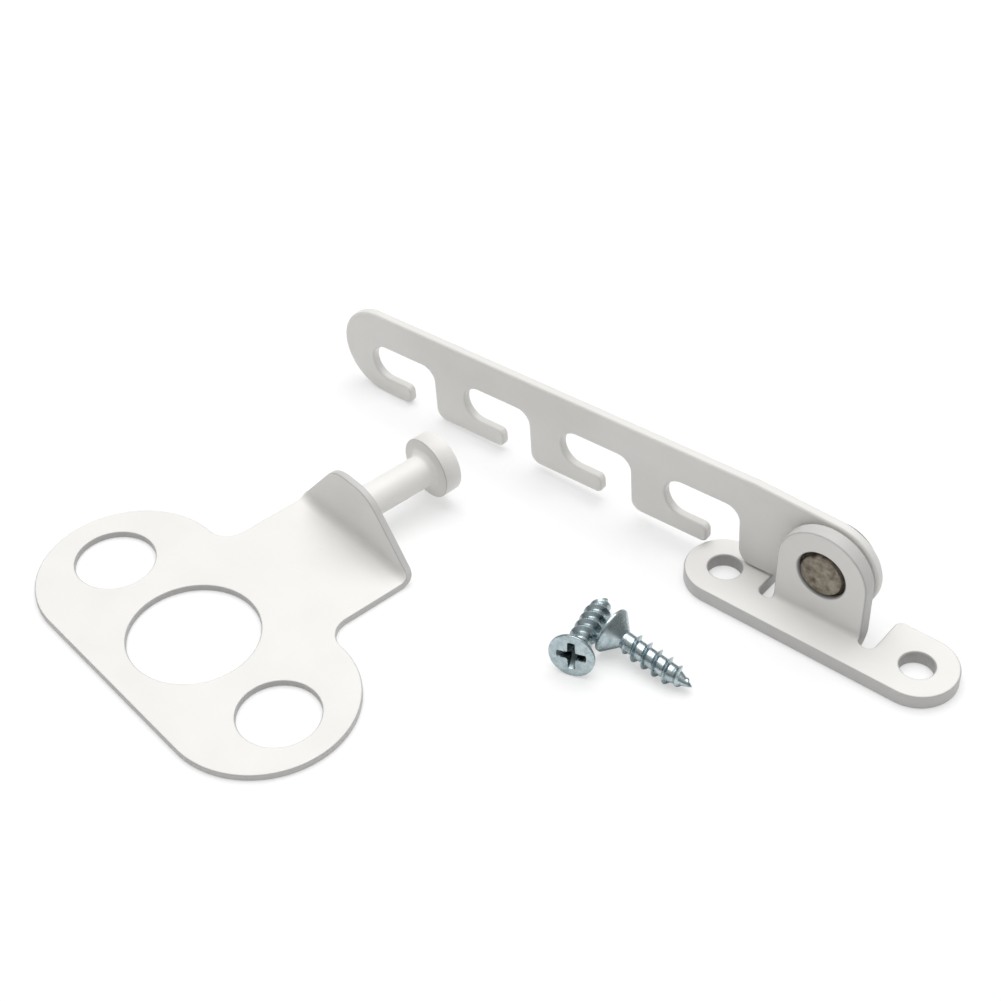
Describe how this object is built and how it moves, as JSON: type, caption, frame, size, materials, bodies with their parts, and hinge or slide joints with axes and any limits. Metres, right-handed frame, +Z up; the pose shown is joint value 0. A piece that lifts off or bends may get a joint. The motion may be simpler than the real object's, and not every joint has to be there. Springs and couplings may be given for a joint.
{
  "type": "window opening restrictor",
  "caption": "Notched comb lever pivoted on a screw-on bracket, with a strike plate whose stud the notches catch, and its loose wood screws.",
  "frame": {"origin": "on the underside of the bracket, midway between its two screw holes", "axes": "+Z up out of the surface, +X along the bracket's screw holes away from the comb's far end, +Y towards the ear"},
  "size_m": [0.1263, 0.0825, 0.0191],
  "materials": {
    "white_coat": "off-white powder coat, satin",
    "rivet_steel": "bare steel, hammered and dull",
    "washer_steel": "plain steel",
    "zinc_steel": "bright zinc plate with a blue tint"
  },
  "bodies": {
    "bracket": {"bracket": "white_coat", "pivot_rivet": "rivet_steel", "pivot_washer": "washer_steel"},
    "comb": {"comb_lever": "white_coat"},
    "strike": {"strike_plate": "white_coat", "strike_stud": "white_coat"},
    "loose_screw_1": {"screw_1": "zinc_steel"},
    "loose_screw_2": {"screw_2": "zinc_steel"}
  },
  "joints": [
    {"name": "comb_pivot", "type": "hinge", "parent": "bracket", "child": "comb", "pos_m": [0, 0.00304, 0.011], "axis": [0, 1, 0], "range_deg": [0, 180]},
    {"name": "strike_lift", "type": "slide", "parent": "bracket", "child": "strike", "axis": [0, 0, 1], "range_m": [0, 0.05]},
    {"name": "screw_1_lift", "type": "slide", "parent": "bracket", "child": "loose_screw_1", "axis": [0, 0, 1], "range_m": [0, 0.05]},
    {"name": "screw_2_lift", "type": "slide", "parent": "bracket", "child": "loose_screw_2", "axis": [0, 0, 1], "range_m": [0, 0.05]}
  ]
}
